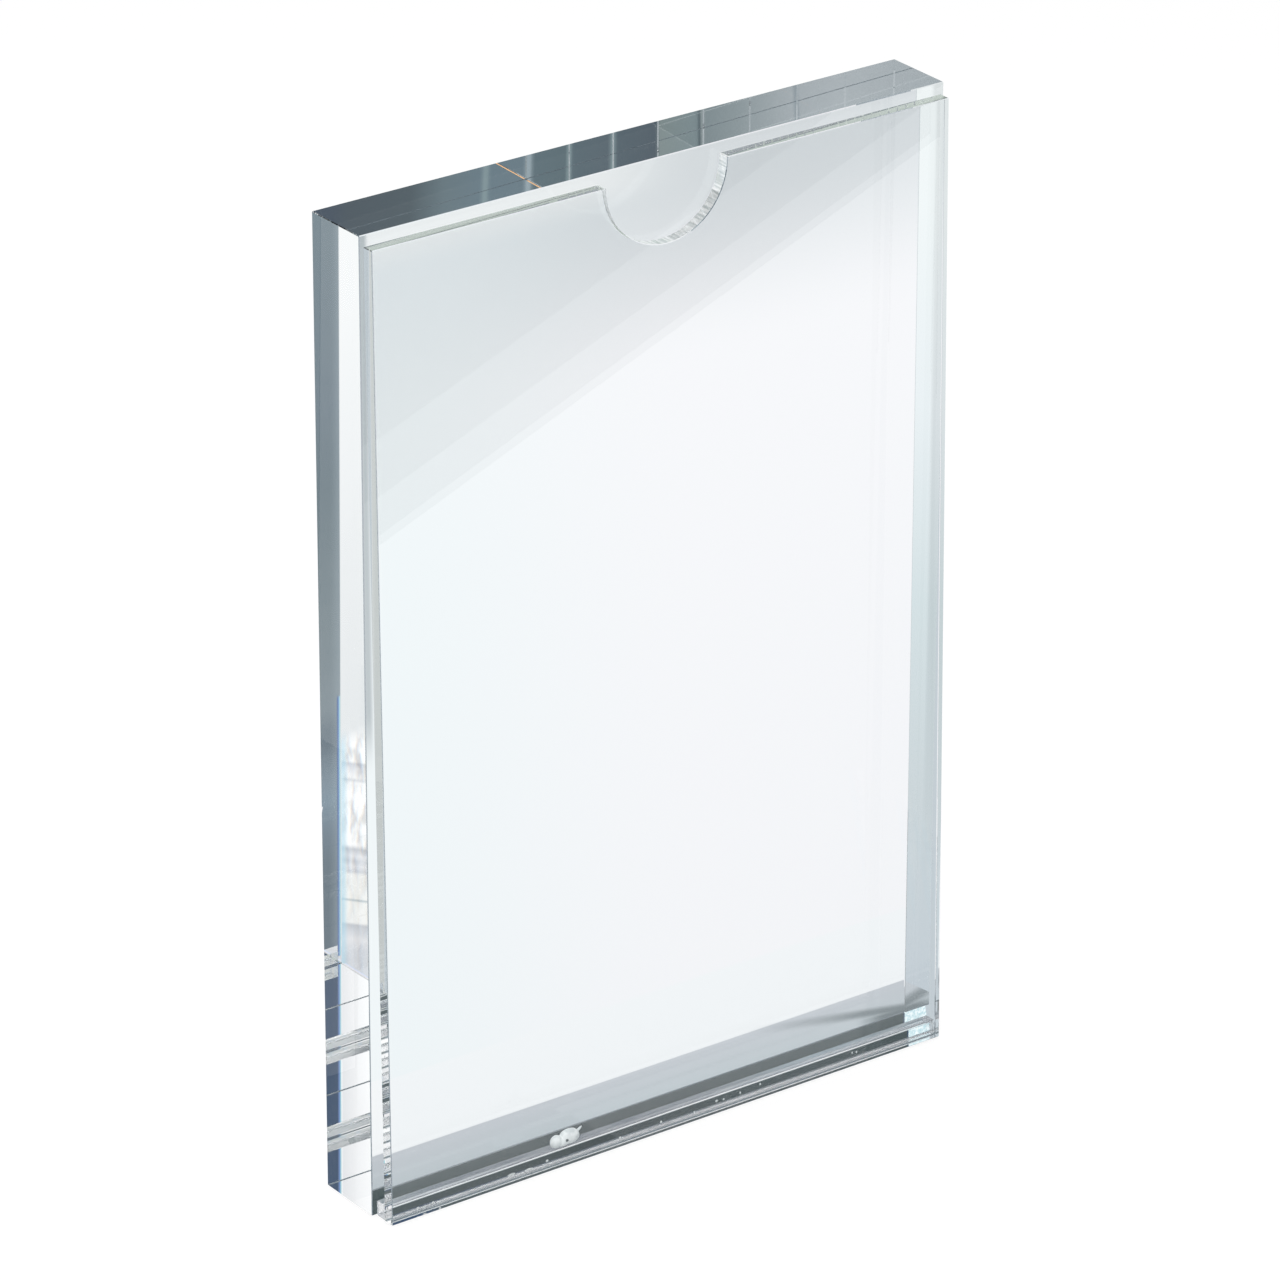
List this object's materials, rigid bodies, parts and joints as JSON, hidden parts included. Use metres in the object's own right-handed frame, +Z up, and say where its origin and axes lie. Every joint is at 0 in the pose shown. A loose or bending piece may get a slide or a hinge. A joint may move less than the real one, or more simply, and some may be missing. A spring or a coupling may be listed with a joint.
{
  "type": "acrylic block frame",
  "caption": "Free-standing clear block photo frame: thick polished block, thin leaning front panel with a half-round thumb notch, and an open pocket between them for a print.",
  "frame": {"origin": "middle of the footprint, on the surface that the frame stands on", "axes": "+X to the viewer's right as the frame is looked at from the front, +Y from the front panel to the back of the block, +Z up"},
  "size_m": [0.1016, 0.0158, 0.1524],
  "materials": {
    "clear_acrylic": "polished",
    "clear_cement": "clear set cement with small bubbles"
  },
  "bodies": {
    "root": {"block": "clear_acrylic", "front_panel": "clear_acrylic", "spacer_strip": "clear_acrylic", "rear_cement": "clear_cement", "front_cement": "clear_cement"}
  },
  "joints": []
}
